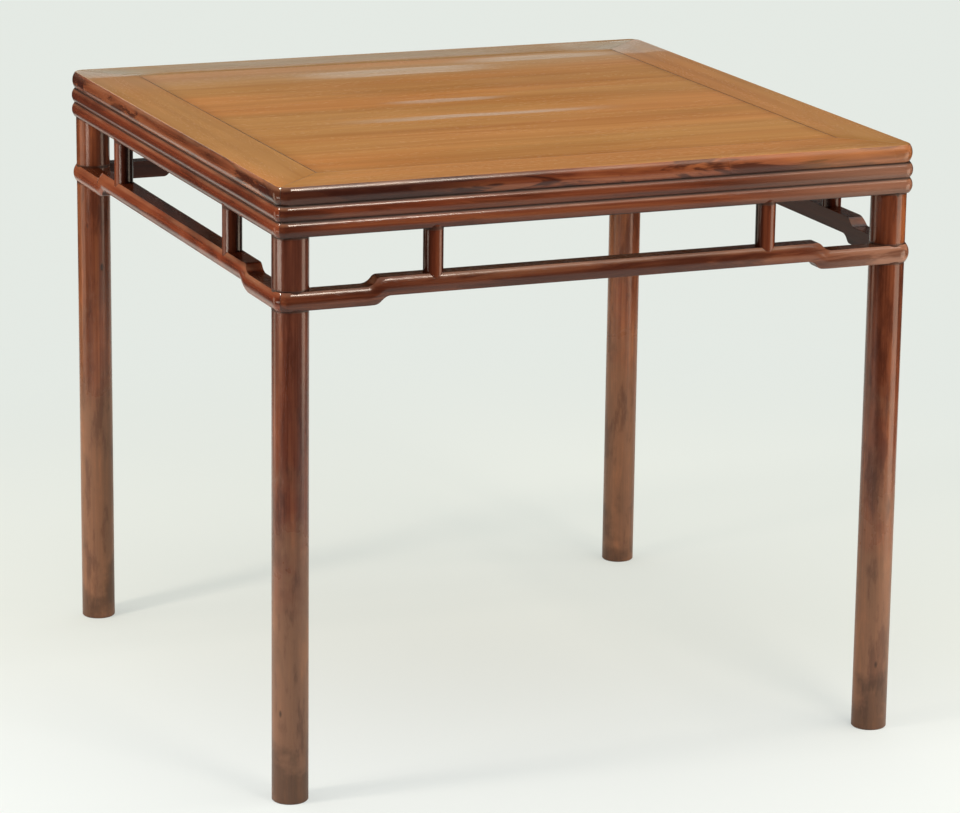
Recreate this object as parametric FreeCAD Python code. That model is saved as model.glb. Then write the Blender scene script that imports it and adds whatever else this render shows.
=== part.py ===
import FreeCAD, Part
import math
import os

# Square eight immortals table with round legs, in millimetres.
#
# A frame-and-panel top carries a double-bead rail under its edge.  Humpback
# stretchers wrap round the legs below it and short round struts stand between
# the two.  Every corner is mitred, and the mitres pass outside the legs, which
# are notched back to a squared core where rail and stretchers wrap them.
#
# The origin is on the floor under the centre of the table, +Z is up and -Y is
# the front.  A side is first made at the front and then turned into place.
# "Setback" is the distance inward from the crown of the mouldings.  A moulding
# is rounded in plan at the corners by its own face radius, so it turns each
# corner as part of a ball.

# ---- overall form ----
TABLE_SIDE = 920.0
TABLE_HEIGHT = 835.0

# ---- top frame ----
FRAME_THICKNESS = 25.0
FRAME_WIDTH = 82.0
FRAME_BEAD_RADIUS = 20.0
THROUGH_TENON_WIDTH = 28.0
THROUGH_TENON_THICKNESS = 9.0
THROUGH_TENON_SETBACK = 44.0    # outer edge of the tenon
SOFT_ARRIS = 2.0

# ---- floating panel ----
PANEL_THICKNESS = 11.0
PANEL_TONGUE_LENGTH = 8.0
PANEL_TONGUE_THICKNESS = 6.0
PANEL_END_GAP = 0.9             # across the board ends
PANEL_SIDE_GAP = 0.5            # along the outer board edges
GROOVE_SLACK = 1.0
BOARD_SEAM_Y = 90.0
BOARD_TONGUE_LENGTH = 6.0
BOARD_TONGUE_THICKNESS = 4.0

# ---- panel braces ----
BRACE_SPACING = 190.0
BRACE_WIDTH = 30.0
BRACE_HEIGHT = 20.0
BRACE_KEY_HEIGHT = 5.0
BRACE_KEY_NARROW = 16.0
BRACE_KEY_WIDE = 20.0
BRACE_TENON_LENGTH = 12.0
BRACE_TENON_THICKNESS = 8.0
BRACE_END_SLOPE = 36.0          # length over which the underside rises
BRACE_END_DROP = 12.0           # depth of the brace where it meets the frame
BOARD_TONGUE_CLEARANCE = 0.5    # between board tongue and dovetail keys

# ---- double-bead edge rail ----
RAIL_BEAD_HEIGHT = 21.0
RAIL_BEAD_RADIUS = 15.5
RAIL_DEPTH = 28.0
LOOSE_TENON_SPACING = 300.0
LOOSE_TENON_SIZE = (24.0, 7.0, 20.0)
LOOSE_TENON_SETBACK = 15.0

# ---- legs ----
LEG_RADIUS = 24.5
LEG_AXIS_SETBACK = 27.5
LEG_CORE_SETBACK = 14.0         # flats of the squared core
LEG_FOOT_CHAMFER = 1.5
LEG_TENON_LONG = 18.0
LEG_TENON_SHORT = 11.0
LEG_TENON_NEAR = (17.0, 27.0)   # setback across the tenon
LEG_TENON_ALONG = (30.0, 41.0)  # distance along the edge from the corner

# ---- humpback stretchers ----
STRETCHER_HEIGHT = 25.0
STRETCHER_DEPTH = 28.0
STRETCHER_FACE_RADIUS = 20.0
STRETCHER_LOW_Z = 671.5         # underside beside the legs
HUMP_RISE = 11.5
HUMP_HALF_SPAN = 319.0          # middle of each step
STEP_SHIFT = 6.5                # upper step outward, lower step inward
STEP_TIGHT_RADIUS = 10.0
STEP_EASY_RADIUS = 18.0
STEP_FACE_RADIUS = 24.0         # of the moulded face's centre line
STRETCHER_TENON = (9.0, 17.0)   # thickness, height
STRETCHER_TENON_SETBACK = 16.5

# ---- struts ----
STRUT_RADIUS = 13.5
STRUT_AXIS_SETBACK = 14.5
STRUT_SPACING = 240.0
STRUT_TENON_SIDE = 12.0
STRUT_TENON_LENGTH = 14.0

HALF = TABLE_SIDE / 2
FRAME_Z = TABLE_HEIGHT - FRAME_THICKNESS
RAIL_Z = FRAME_Z - 2 * RAIL_BEAD_HEIGHT
PANEL_Z = TABLE_HEIGHT - PANEL_THICKNESS
INNER = HALF - FRAME_WIDTH      # inner edge of the top frame
STRETCHER_TOP_LOW = STRETCHER_LOW_Z + STRETCHER_HEIGHT
HUMP_TOP = STRETCHER_TOP_LOW + HUMP_RISE
FACE_OVERSIZE = 3.0             # moulded face wider than the sawn outline

Z_AXIS = FreeCAD.Vector(0, 0, 1)
SIDES = ("front", "right", "rear", "left")


def point(x, y, z):
    return FreeCAD.Vector(x, y, z)


def block(x_range, y_range, z_range):
    """Box between two limits along each axis."""
    low = [min(limits) for limits in (x_range, y_range, z_range)]
    size = [abs(limits[1] - limits[0]) for limits in (x_range, y_range, z_range)]
    return Part.makeBox(size[0], size[1], size[2], point(*low))


def filled(edges):
    """Planar face inside a closed run of edges."""
    return Part.Face(Part.Wire(Part.__sortEdges__(edges)))


def turned(shape, quarter_turns):
    """Copy of a shape turned about the table's centre."""
    copy = shape.copy()
    copy.rotate(point(0, 0, 0), Z_AXIS, 90 * quarter_turns)
    return copy


def merged(first, others):
    return first.fuse(others).removeSplitter()


def section_point(setback, z):
    """Point of a front section, in the plane x = 0."""
    return point(0, -HALF + setback, z)


def bead_edges(z_low, z_high, radius, soft_low=0.0, soft_high=0.0):
    """Convex bead from its lower to its upper corner, crown at setback 0.

    A soft corner is a small arc tangent to the bead and to the flat beyond it.
    Returns the edges and the setbacks at the lower and upper end.
    """
    middle = (z_low + z_high) / 2
    half = (z_high - z_low) / 2

    def corner(soft):
        """Setback and height offset where the bead ends, and the flat begins."""
        if soft == 0:
            setback = radius - math.sqrt(radius ** 2 - half ** 2)
            return (setback, half), None, setback
        reach = radius - soft
        rise = half - soft
        centre = radius - math.sqrt(reach ** 2 - rise ** 2)
        scale = radius / reach
        touch = (radius + (centre - radius) * scale, rise * scale)
        tilt = math.atan2(rise, radius - centre)
        middle_tilt = (tilt + math.pi / 2) / 2
        via = (centre - soft * math.cos(middle_tilt), rise + soft * math.sin(middle_tilt))
        return touch, via, centre

    low_touch, low_via, low_flat = corner(soft_low)
    high_touch, high_via, high_flat = corner(soft_high)
    start = section_point(low_touch[0], middle - low_touch[1])
    end = section_point(high_touch[0], middle + high_touch[1])
    edges = [Part.Arc(start, section_point(0, middle), end).toShape()]
    if low_via:
        via = section_point(low_via[0], middle - low_via[1])
        edges.insert(0, Part.Arc(section_point(low_flat, z_low), via, start).toShape())
    if high_via:
        via = section_point(high_via[0], middle + high_via[1])
        edges.append(Part.Arc(end, via, section_point(high_flat, z_high)).toShape())
    return edges, low_flat, high_flat


def moulding_face(bead_rows, depth):
    """Section of one or more beads over a flat back, lowest bead first."""
    edges = []
    low_setback = None
    previous = None
    for z_low, z_high, radius, soft_low, soft_high in bead_rows:
        row, low_flat, high_flat = bead_edges(z_low, z_high, radius, soft_low, soft_high)
        if low_setback is None:
            low_setback = low_flat
        elif abs(previous - low_flat) > 1e-6:
            ledge = section_point(previous, z_low), section_point(low_flat, z_low)
            edges.append(Part.makeLine(*ledge))
        edges += row
        previous = high_flat
    bottom = bead_rows[0][0]
    top = bead_rows[-1][1]
    back_top = section_point(depth, top)
    back_bottom = section_point(depth, bottom)
    edges.append(Part.makeLine(section_point(previous, top), back_top))
    edges.append(Part.makeLine(back_top, back_bottom))
    edges.append(Part.makeLine(back_bottom, section_point(low_setback, bottom)))
    return filled(edges)


def mitre_wedge():
    """Everything that belongs to the front side of the square."""
    reach = TABLE_SIDE
    corners = [point(0, 0, 0), point(-reach, -reach, 0), point(reach, -reach, 0)]
    outline = Part.makePolygon(corners + corners[:1])
    return Part.Face(outline).extrude(point(0, 0, 2 * TABLE_HEIGHT))


def corner_sectors(section, radius):
    """The section turned through 45 degrees at each rounded corner."""
    y_range = (-2 * HALF, -HALF + radius)
    outer = section.common(block((-1, 1), y_range, (0, 2 * TABLE_HEIGHT)))
    sectors = []
    for side in (-1, 1):
        face = outer.copy()
        corner_x = side * (HALF - radius)
        face.translate(point(corner_x, 0, 0))
        axis = point(corner_x, -HALF + radius, 0)
        sectors.append(face.Faces[0].revolve(axis, Z_AXIS, 45 * side))
    return sectors


def mitred_side(section, radius, body=None):
    """Front member with rounded, mitred ends; body replaces its plain run."""
    reach = HALF - radius
    if body is None:
        face = section.copy()
        face.translate(point(-reach, 0, 0))
        body = face.extrude(point(2 * reach, 0, 0))
    return merged(body.common(mitre_wedge()), corner_sectors(section, radius))


# ---------------------------------------------------------------- top frame

def frame_blank():
    """Top frame member with its moulded edge, before any joint is cut."""
    bead = (FRAME_Z, TABLE_HEIGHT, FRAME_BEAD_RADIUS, 0, SOFT_ARRIS)
    return mitred_side(moulding_face([bead], FRAME_WIDTH), FRAME_BEAD_RADIUS)


def panel_groove():
    """Groove for the panel tongue along the inner edge of the front member."""
    depth = PANEL_TONGUE_LENGTH + GROOVE_SLACK
    reach = INNER + depth
    z_range = (PANEL_Z, PANEL_Z + PANEL_TONGUE_THICKNESS)
    return block((-reach, reach), (-INNER - depth, -INNER), z_range)


def brace_mortises():
    """Mortises for the brace tenons in the inner edge of the front member."""
    z_top = PANEL_Z - (FRAME_THICKNESS - PANEL_THICKNESS - BRACE_TENON_THICKNESS) / 2
    z_range = (z_top - BRACE_TENON_THICKNESS, z_top)
    y_range = (-INNER - BRACE_TENON_LENGTH, -INNER)
    mortises = []
    for row in (-1, 0, 1):
        middle = row * BRACE_SPACING
        x_range = (middle - BRACE_WIDTH / 2, middle + BRACE_WIDTH / 2)
        mortises.append(block(x_range, y_range, z_range))
    return mortises


def through_tenon_block(side):
    """Path of a front member's through tenon across a cross member."""
    y_outer = -HALF + THROUGH_TENON_SETBACK
    z_low = FRAME_Z + (FRAME_THICKNESS - THROUGH_TENON_THICKNESS) / 2
    z_range = (z_low, z_low + THROUGH_TENON_THICKNESS)
    x_range = (side * HALF, side * INNER)
    return block(x_range, (y_outer, y_outer + THROUGH_TENON_WIDTH), z_range)


def long_frame_member():
    """Front member: groove, brace mortises and a through tenon at each end."""
    blank = frame_blank()
    member = blank.cut([panel_groove()] + brace_mortises())
    tenons = []
    for side, quarter_turns in ((-1, -1), (1, 1)):
        neighbour = turned(blank, quarter_turns)
        tenons.append(through_tenon_block(side).common(neighbour))
    return merged(member, tenons)


def cross_frame_member():
    """Cross member as it would lie at the front, mortised at both ends."""
    member = frame_blank().cut(panel_groove())
    paths = []
    for quarter_turns, side in ((1, -1), (1, 1), (-1, -1), (-1, 1)):
        paths.append(turned(through_tenon_block(side), quarter_turns))
    return member.cut(paths)


# ---------------------------------------------------------------- edge rail

def rail_blank():
    """Double-bead rail before it is cut to the legs and tenons."""
    middle = RAIL_Z + RAIL_BEAD_HEIGHT
    lower = (RAIL_Z, middle, RAIL_BEAD_RADIUS, SOFT_ARRIS, 0)
    upper = (middle, FRAME_Z, RAIL_BEAD_RADIUS, 0, 0)
    return mitred_side(moulding_face([lower, upper], RAIL_DEPTH), RAIL_BEAD_RADIUS)


def loose_tenons():
    """Three loose tenons between the front rail and the frame."""
    length, thickness, height = LOOSE_TENON_SIZE
    y_middle = -HALF + LOOSE_TENON_SETBACK
    y_range = (y_middle - thickness / 2, y_middle + thickness / 2)
    z_range = (FRAME_Z - height / 2, FRAME_Z + height / 2)
    tenons = []
    for row in (-1, 0, 1):
        middle = row * LOOSE_TENON_SPACING
        x_range = (middle - length / 2, middle + length / 2)
        tenons.append(block(x_range, y_range, z_range))
    return tenons


# ------------------------------------------------------- humpback stretcher

def step_arcs(side, x_middle, z_low, upper_radius, lower_radius):
    """Two tangent arcs that step up by the hump's rise, from low to high."""
    total = upper_radius + lower_radius
    angle = math.acos(1 - HUMP_RISE / total)
    run = total * math.sin(angle)
    x_low = x_middle + run / 2
    x_high = x_middle - run / 2

    def on_lower(part):
        turn = angle * part
        x = x_low - lower_radius * math.sin(turn)
        return point(side * x, 0, z_low + lower_radius * (1 - math.cos(turn)))

    def on_upper(part):
        turn = angle * part
        x = x_high + upper_radius * math.sin(turn)
        z = z_low + HUMP_RISE - upper_radius * (1 - math.cos(turn))
        return point(side * x, 0, z)

    lower = Part.Arc(on_lower(0), on_lower(0.5), on_lower(1)).toShape()
    upper = Part.Arc(on_upper(1), on_upper(0.5), on_upper(0)).toShape()
    return [lower, upper], on_lower(0), on_upper(0)


def hump_outline():
    """Sawn elevation of the front stretcher between its corner roundings."""
    reach = HALF - STRETCHER_FACE_RADIUS
    edges = []
    levels = (
        (STRETCHER_TOP_LOW, STEP_SHIFT, STEP_TIGHT_RADIUS, STEP_EASY_RADIUS),
        (STRETCHER_LOW_Z, -STEP_SHIFT, STEP_EASY_RADIUS, STEP_TIGHT_RADIUS),
    )
    for z_low, shift, upper_radius, lower_radius in levels:
        highs = []
        for side in (-1, 1):
            x_middle = HUMP_HALF_SPAN + shift
            arcs, low, high = step_arcs(side, x_middle, z_low, upper_radius, lower_radius)
            edges += arcs
            edges.append(Part.makeLine(low, point(side * reach, 0, z_low)))
            highs.append(high)
        edges.append(Part.makeLine(*highs))
    for side in (-1, 1):
        low = point(side * reach, 0, STRETCHER_LOW_Z)
        high = point(side * reach, 0, STRETCHER_TOP_LOW)
        edges.append(Part.makeLine(low, high))
    return filled(edges)


def oversize_face(z_middle):
    """Moulded section of the stretcher, taller than the sawn outline."""
    half = STRETCHER_HEIGHT / 2 + FACE_OVERSIZE
    bead = (z_middle - half, z_middle + half, STRETCHER_FACE_RADIUS, 0, 0)
    return moulding_face([bead], STRETCHER_DEPTH)


def moulded_face_run():
    """Convex outer face that follows the hump along the front stretcher."""
    z_low = STRETCHER_LOW_Z + STRETCHER_HEIGHT / 2
    z_high = z_low + HUMP_RISE
    radius = STEP_FACE_RADIUS
    angle = math.acos(1 - HUMP_RISE / (2 * radius))
    run = 2 * radius * math.sin(angle)
    x_high = HUMP_HALF_SPAN - run / 2
    x_low = HUMP_HALF_SPAN + run / 2
    reach = HALF - STRETCHER_FACE_RADIUS

    face = oversize_face(z_high)
    face.translate(point(-x_high, 0, 0))
    pieces = [face.extrude(point(2 * x_high, 0, 0))]
    for side in (-1, 1):
        end = oversize_face(z_low)
        end.translate(point(side * x_low, 0, 0))
        pieces.append(end.extrude(point(side * (reach - x_low), 0, 0)))
        y_axis = point(0, side, 0)
        lower_centre = point(side * x_low, 0, z_low + radius)
        pieces.append(end.revolve(lower_centre, y_axis, math.degrees(angle)))
        start = oversize_face(z_high)
        start.translate(point(side * x_high, 0, 0))
        upper_centre = point(side * x_high, 0, z_high - radius)
        pieces.append(start.revolve(upper_centre, y_axis, math.degrees(angle)))
    return pieces[0].fuse(pieces[1:])


def stretcher_blank():
    """Wrap-around stretcher before it is cut to the legs and struts."""
    sawn = hump_outline()
    sawn.translate(point(0, -2 * HALF, 0))
    sawn = sawn.extrude(point(0, HALF + STRETCHER_DEPTH, 0))
    body = sawn.common(moulded_face_run())
    z_top = STRETCHER_LOW_Z + STRETCHER_HEIGHT
    bead = (STRETCHER_LOW_Z, z_top, STRETCHER_FACE_RADIUS, 0, 0)
    section = moulding_face([bead], STRETCHER_DEPTH)
    return mitred_side(section, STRETCHER_FACE_RADIUS, body)


def stretcher_tenons():
    """Tenons of the front stretcher, mitred against the side stretchers'."""
    thickness, height = STRETCHER_TENON
    y_outer = -HALF + STRETCHER_TENON_SETBACK
    z_middle = STRETCHER_LOW_Z + STRETCHER_HEIGHT / 2
    z_range = (z_middle - height / 2, z_middle + height / 2)
    leg_inner = LEG_AXIS_SETBACK + LEG_RADIUS
    tenons = []
    for side in (-1, 1):
        x_range = (side * HALF, side * (HALF - leg_inner))
        tenon = block(x_range, (y_outer, y_outer + thickness), z_range)
        tenons.append(tenon.common(mitre_wedge()))
    return tenons


# --------------------------------------------------------------------- legs

def leg_axis(side_x, side_y):
    axis = HALF - LEG_AXIS_SETBACK
    return point(side_x * axis, side_y * axis, 0)


def leg_core(side_x, side_y):
    """Part of the round leg that stays inside the wrapped members."""
    base = leg_axis(side_x, side_y)
    base.z = STRETCHER_LOW_Z - STRETCHER_HEIGHT
    stock = Part.makeCylinder(LEG_RADIUS, FRAME_Z - base.z, base)
    flat = HALF - LEG_CORE_SETBACK
    inside = block((0, side_x * flat), (0, side_y * flat), (0, FRAME_Z))
    return stock.common(inside)


def leg_tenons(side_x, side_y):
    """Long tenon into the long frame member, short one into the cross member."""
    near = [HALF - setback for setback in LEG_TENON_NEAR]
    along = [HALF - distance for distance in LEG_TENON_ALONG]
    long_x = [side_x * value for value in along]
    long_y = [side_y * value for value in near]
    short_x = [side_x * value for value in near]
    short_y = [side_y * value for value in along]
    return [
        block(long_x, long_y, (FRAME_Z, FRAME_Z + LEG_TENON_LONG)),
        block(short_x, short_y, (FRAME_Z, FRAME_Z + LEG_TENON_SHORT)),
    ]


def leg_stock(side_x, side_y):
    """Round leg up to the crown of the lower rail bead, foot chamfered."""
    axis = leg_axis(side_x, side_y)
    height = RAIL_Z + RAIL_BEAD_HEIGHT / 2 - LEG_FOOT_CHAMFER
    foot_radius = LEG_RADIUS - LEG_FOOT_CHAMFER
    foot = Part.makeCone(foot_radius, LEG_RADIUS, LEG_FOOT_CHAMFER, axis)
    axis.z = LEG_FOOT_CHAMFER
    return foot.fuse(Part.makeCylinder(LEG_RADIUS, height, axis))


# ------------------------------------------------------------------- struts

def strut_axis(side):
    return point(side * STRUT_SPACING, -HALF + STRUT_AXIS_SETBACK, 0)


def strut_tenons(side):
    """Square tenons up into the rail and down into the stretcher."""
    axis = strut_axis(side)
    half = STRUT_TENON_SIDE / 2
    x_range = (axis.x - half, axis.x + half)
    y_range = (axis.y - half, axis.y + half)
    return [
        block(x_range, y_range, (RAIL_Z, RAIL_Z + STRUT_TENON_LENGTH)),
        block(x_range, y_range, (HUMP_TOP - STRUT_TENON_LENGTH, HUMP_TOP)),
    ]


def front_strut(side, rail, stretcher):
    """Round strut whose shoulders are scribed over the two mouldings."""
    z_low = HUMP_TOP - STRETCHER_HEIGHT / 2
    z_high = RAIL_Z + RAIL_BEAD_HEIGHT / 2
    base = strut_axis(side)
    base.z = z_low
    stock = Part.makeCylinder(STRUT_RADIUS, z_high - z_low, base)
    return merged(stock.cut([rail, stretcher]), strut_tenons(side))


# ------------------------------------------------------------ panel, braces

def panel_brace(row):
    """Brace with a dovetail key along its top and a tenon at each end."""
    middle = row * BRACE_SPACING
    z_low = PANEL_Z - BRACE_HEIGHT
    z_end = PANEL_Z - BRACE_END_DROP
    profile = Part.makePolygon([
        point(0, -INNER, z_end),
        point(0, -INNER + BRACE_END_SLOPE, z_low),
        point(0, INNER - BRACE_END_SLOPE, z_low),
        point(0, INNER, z_end),
        point(0, INNER, PANEL_Z),
        point(0, -INNER, PANEL_Z),
        point(0, -INNER, z_end),
    ])
    bar = Part.Face(profile).extrude(point(BRACE_WIDTH, 0, 0))
    bar.translate(point(middle - BRACE_WIDTH / 2, 0, 0))
    reach = INNER - PANEL_SIDE_GAP
    narrow = BRACE_KEY_NARROW / 2
    wide = BRACE_KEY_WIDE / 2
    key_top = PANEL_Z + BRACE_KEY_HEIGHT
    key_section = Part.makePolygon([
        point(middle - narrow, -reach, PANEL_Z),
        point(middle + narrow, -reach, PANEL_Z),
        point(middle + wide, -reach, key_top),
        point(middle - wide, -reach, key_top),
        point(middle - narrow, -reach, PANEL_Z),
    ])
    key = Part.Face(key_section).extrude(point(0, 2 * reach, 0))
    tenon = brace_mortises()[row + 1]
    return merged(bar, [key, tenon, turned(brace_mortises()[1 - row], 2)])


def panel_board(y_low, y_high, braces):
    """Board between two heights across the panel, rebated to its tongue."""
    reach_x = INNER - PANEL_END_GAP
    reach_y = INNER - PANEL_SIDE_GAP
    tongue_x = INNER + PANEL_TONGUE_LENGTH
    tongue_low = y_low
    tongue_high = y_high
    if y_low < -INNER:
        y_low = -reach_y
        tongue_low = -tongue_x
    if y_high > INNER:
        y_high = reach_y
        tongue_high = tongue_x
    z_tongue = PANEL_Z + PANEL_TONGUE_THICKNESS
    board = block((-reach_x, reach_x), (y_low, y_high), (PANEL_Z, TABLE_HEIGHT))
    tongue = block((-tongue_x, tongue_x), (tongue_low, tongue_high), (PANEL_Z, z_tongue))
    return merged(board, [tongue]).cut(braces)


def board_tongue():
    """Tongue of the rear board, let into the front board."""
    reach = INNER - PANEL_END_GAP
    z_low = PANEL_Z + BRACE_KEY_HEIGHT + BOARD_TONGUE_CLEARANCE
    z_range = (z_low, z_low + BOARD_TONGUE_THICKNESS)
    return block((-reach, reach), (BOARD_SEAM_Y - BOARD_TONGUE_LENGTH, BOARD_SEAM_Y), z_range)


# ----------------------------------------------------------------- assembly

def build_top(pieces):
    """Frame, panel and braces."""
    loose = []
    for quarter_turns in range(4):
        loose += [turned(tenon, quarter_turns) for tenon in loose_tenons()]
    pieces["edge_rail_loose_tenons"] = Part.makeCompound(loose)

    leg_ends = []
    for side_x in (-1, 1):
        for side_y in (-1, 1):
            leg_ends += leg_tenons(side_x, side_y)
    long_member = long_frame_member()
    cross_member = cross_frame_member()
    for quarter_turns, side in enumerate(SIDES):
        member = cross_member if quarter_turns % 2 else long_member
        placed = turned(member, quarter_turns)
        pieces["top_frame_" + side] = placed.cut(leg_ends + loose)

    braces = [panel_brace(row) for row in (-1, 0, 1)]
    for name, brace in zip(("left", "middle", "right"), braces):
        pieces["panel_brace_" + name] = brace
    tongue = board_tongue()
    front = panel_board(-HALF, BOARD_SEAM_Y, braces)
    rear = panel_board(BOARD_SEAM_Y, HALF, braces)
    pieces["top_panel_front_board"] = front.cut(tongue)
    pieces["top_panel_rear_board"] = merged(rear, [tongue])
    return loose


def build_base(pieces, loose):
    """Legs, rails, stretchers and struts."""
    cores = [leg_core(x, y) for x in (-1, 1) for y in (-1, 1)]
    rail = rail_blank().cut(cores)
    stretcher = merged(stretcher_blank().cut(cores), stretcher_tenons())
    struts = [front_strut(side, rail, stretcher) for side in (-1, 1)]
    mortises = strut_tenons(-1) + strut_tenons(1)
    rail = rail.cut(mortises)
    stretcher = stretcher.cut(mortises)

    rails = []
    stretchers = []
    names = {
        "front": ("front_left", "front_right"),
        "right": ("right_front", "right_rear"),
        "rear": ("rear_right", "rear_left"),
        "left": ("left_rear", "left_front"),
    }
    for quarter_turns, side in enumerate(SIDES):
        rails.append(turned(rail, quarter_turns).cut(loose))
        stretchers.append(turned(stretcher, quarter_turns))
        pieces["edge_rail_" + side] = rails[-1]
        pieces["humpback_stretcher_" + side] = stretchers[-1]
        for strut, name in zip(struts, names[side]):
            pieces["strut_" + name] = turned(strut, quarter_turns)

    for side_y, end in ((-1, "front"), (1, "rear")):
        for side_x, hand in ((-1, "left"), (1, "right")):
            stock = leg_stock(side_x, side_y)
            core = leg_core(side_x, side_y)
            leg = merged(stock, [core] + leg_tenons(side_x, side_y))
            leg = leg.cut(rails + stretchers).removeSplitter()
            pieces["leg_" + end + "_" + hand] = leg


def main():
    os.makedirs("parts", exist_ok=True)
    pieces = {}
    loose = build_top(pieces)
    build_base(pieces, loose)
    for name, shape in sorted(pieces.items()):
        solids = shape.Solids
        if len(solids) == 1:
            shape = solids[0]
        if not shape.isValid():
            raise ValueError(name + " is not a valid shape")
        shape.exportStep(os.path.join("parts", name + ".step"))
        print(name, len(solids), "solid", round(shape.Volume / 1000, 1), "cm3")


main()
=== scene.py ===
import math

import bpy
from mathutils import Matrix, Vector


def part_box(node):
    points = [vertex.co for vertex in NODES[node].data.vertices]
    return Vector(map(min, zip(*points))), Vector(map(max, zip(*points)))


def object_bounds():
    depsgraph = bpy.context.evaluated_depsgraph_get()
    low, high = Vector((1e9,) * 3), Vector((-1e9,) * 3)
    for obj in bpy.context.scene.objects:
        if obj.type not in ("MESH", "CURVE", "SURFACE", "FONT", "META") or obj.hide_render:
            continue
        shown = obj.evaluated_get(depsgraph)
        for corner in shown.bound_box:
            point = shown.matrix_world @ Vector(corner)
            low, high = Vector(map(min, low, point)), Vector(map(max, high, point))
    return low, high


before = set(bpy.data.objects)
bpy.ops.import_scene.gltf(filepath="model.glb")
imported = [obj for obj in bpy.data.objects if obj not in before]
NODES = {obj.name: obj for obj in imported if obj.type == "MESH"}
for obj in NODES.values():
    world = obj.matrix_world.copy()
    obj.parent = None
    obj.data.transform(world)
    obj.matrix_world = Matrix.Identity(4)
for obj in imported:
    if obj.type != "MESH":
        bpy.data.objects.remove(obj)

bl_info = {
    "name": "Eight Immortals Table",
    "version": (1, 0, 0),
    "blender": (4, 5, 0),
    "location": "3D View > Sidebar > Table",
    "description": "Waxed rosewood finishes and a pale studio "
                   "for a square humpback-stretcher table",
    "category": "Object",
}

CAD_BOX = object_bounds()
TABLE_MIDDLE = (0.0, 0.0, CAD_BOX[1].z / 2)
FRAME_EDGE = -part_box("top_frame_left")[1].x
FRAME_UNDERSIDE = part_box("edge_rail_front")[1].z
RAIL_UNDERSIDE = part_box("edge_rail_front")[0].z
BEAD_GROOVE = (FRAME_UNDERSIDE + RAIL_UNDERSIDE) / 2
STRETCHER_UNDERSIDE = 0.6715    # levels at which the stretchers meet the legs
STRETCHER_TOP = 0.6965

# The grain axis of each member, as the turn that brings it onto the X axis.
GRAIN_TURNS = {
    "X": (0.0, 0.0, 0.0),
    "Y": (0.0, 0.0, -math.pi / 2),
    "Z": (0.0, math.pi / 2, 0.0),
}
MEMBERS = (("front", "X"), ("rear", "X"), ("left", "Y"), ("right", "Y"))

# Number of each group's first timber; every piece is cut from a timber of its own.
FIRST_TIMBER = {
    "top_panel": 1,
    "top_frame": 3,
    "edge_rail": 7,
    "humpback_stretcher": 11,
    "leg": 15,
    "strut": 19,
    "panel_brace": 27,
    "edge_rail_loose_tenons": 30,
}
PIECE_SPACING = 7.3             # metres between the timbers that two pieces are cut from
GRAIN_WANDER = 0.014            # metres that the grain drifts sideways
WOOD_RELIEF = 0.00004           # depth of the open grain in metres
TOP_RELIEF = 0.000009           # depth of the grain on the table top
TOP_LOOK = {"contrast": 0.8, "fineness": 0.25, "blush": 0.6, "ghosts": 0.15,
            "relief": TOP_RELIEF}

# Slow waves of the old top: centre, half length and width, drop, all in metres.
PANEL_WAVES = (
    ((0.00, 0.295), (0.20, 0.026), 0.0026),
    ((0.24, 0.345), (0.18, 0.018), 0.0018),
    ((-0.02, 0.055), (0.12, 0.012), 0.0012),
    ((-0.02, -0.066), (0.25, 0.012), 0.0012),
)
FRAME_WAVES = (
    ((-0.43, 0.415), (0.11, 0.034), 0.0035),
    ((-0.06, 0.424), (0.56, 0.034), 0.0034),
    ((0.42, 0.390), (0.13, 0.055), 0.0055),
)
WAVE_RETURN = 0.18              # metres over which the top rises again behind a wave

# Redder bands of the panel's figure: centre, half length and width in metres.
PANEL_BANDS = (
    ((0.02, 0.170), (0.42, 0.060)),
    ((0.12, 0.010), (0.40, 0.035)),
    ((-0.05, -0.340), (0.45, 0.050)),
)

# Where a change along a member begins and where it is complete, in metres.
FRONT_FLAMES = (-0.06, 0.10)
FRONT_SMOKE = (-0.08, -0.26)
FRONT_STREAKS = (0.25, 0.33)
FRONT_HANDLED = (0.0, 0.25)
FRONT_PALE_END = (0.28, 0.40)
LEFT_SMOKE = (-0.38, -0.43)
RAIL_SMOKE = (-0.36, -0.45)
RAIL_PALE_END = (0.12, 0.42)
STRETCHER_PALE_END = (0.28, 0.40)
# dulled polish with painted grey reflection toward the rear
REAR_BLOOM_AND_REFLECTION = (0.22, 0.34)
BOARD_END = (0.022, 0.0)
MITRE_HANDLED = (0.045, 0.015)

# Upward part of the surface's direction, over which one kind of face turns into another.
FLAT_TOP = (0.80, 0.97)
DOWNWARD = (-0.5, -0.9)

# Dark lines: half width in metres, strength. Dirt in seams, mitres and joints; in the moulding
# grooves and where the struts meet the rails, dirt with painted shade.
END_GRIME = (0.0030, 0.65)
SIDE_GRIME = (0.0018, 0.30)
SEAM_GRIME = (0.0010, 0.15)
MITRE_GRIME = (0.0011, 0.60)
FRAME_GROOVE_DIRT_AND_SHADE = (0.0028, 0.85)
BEAD_GROOVE_DIRT_AND_SHADE = (0.0026, 0.85)
LIP_DIRT_AND_SHADE = (0.0020, 0.85)
LEG_GRIME = (0.0035, 0.70)
STRUT_JOINT_DIRT_AND_SHADE = (0.0040, 0.70)
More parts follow.
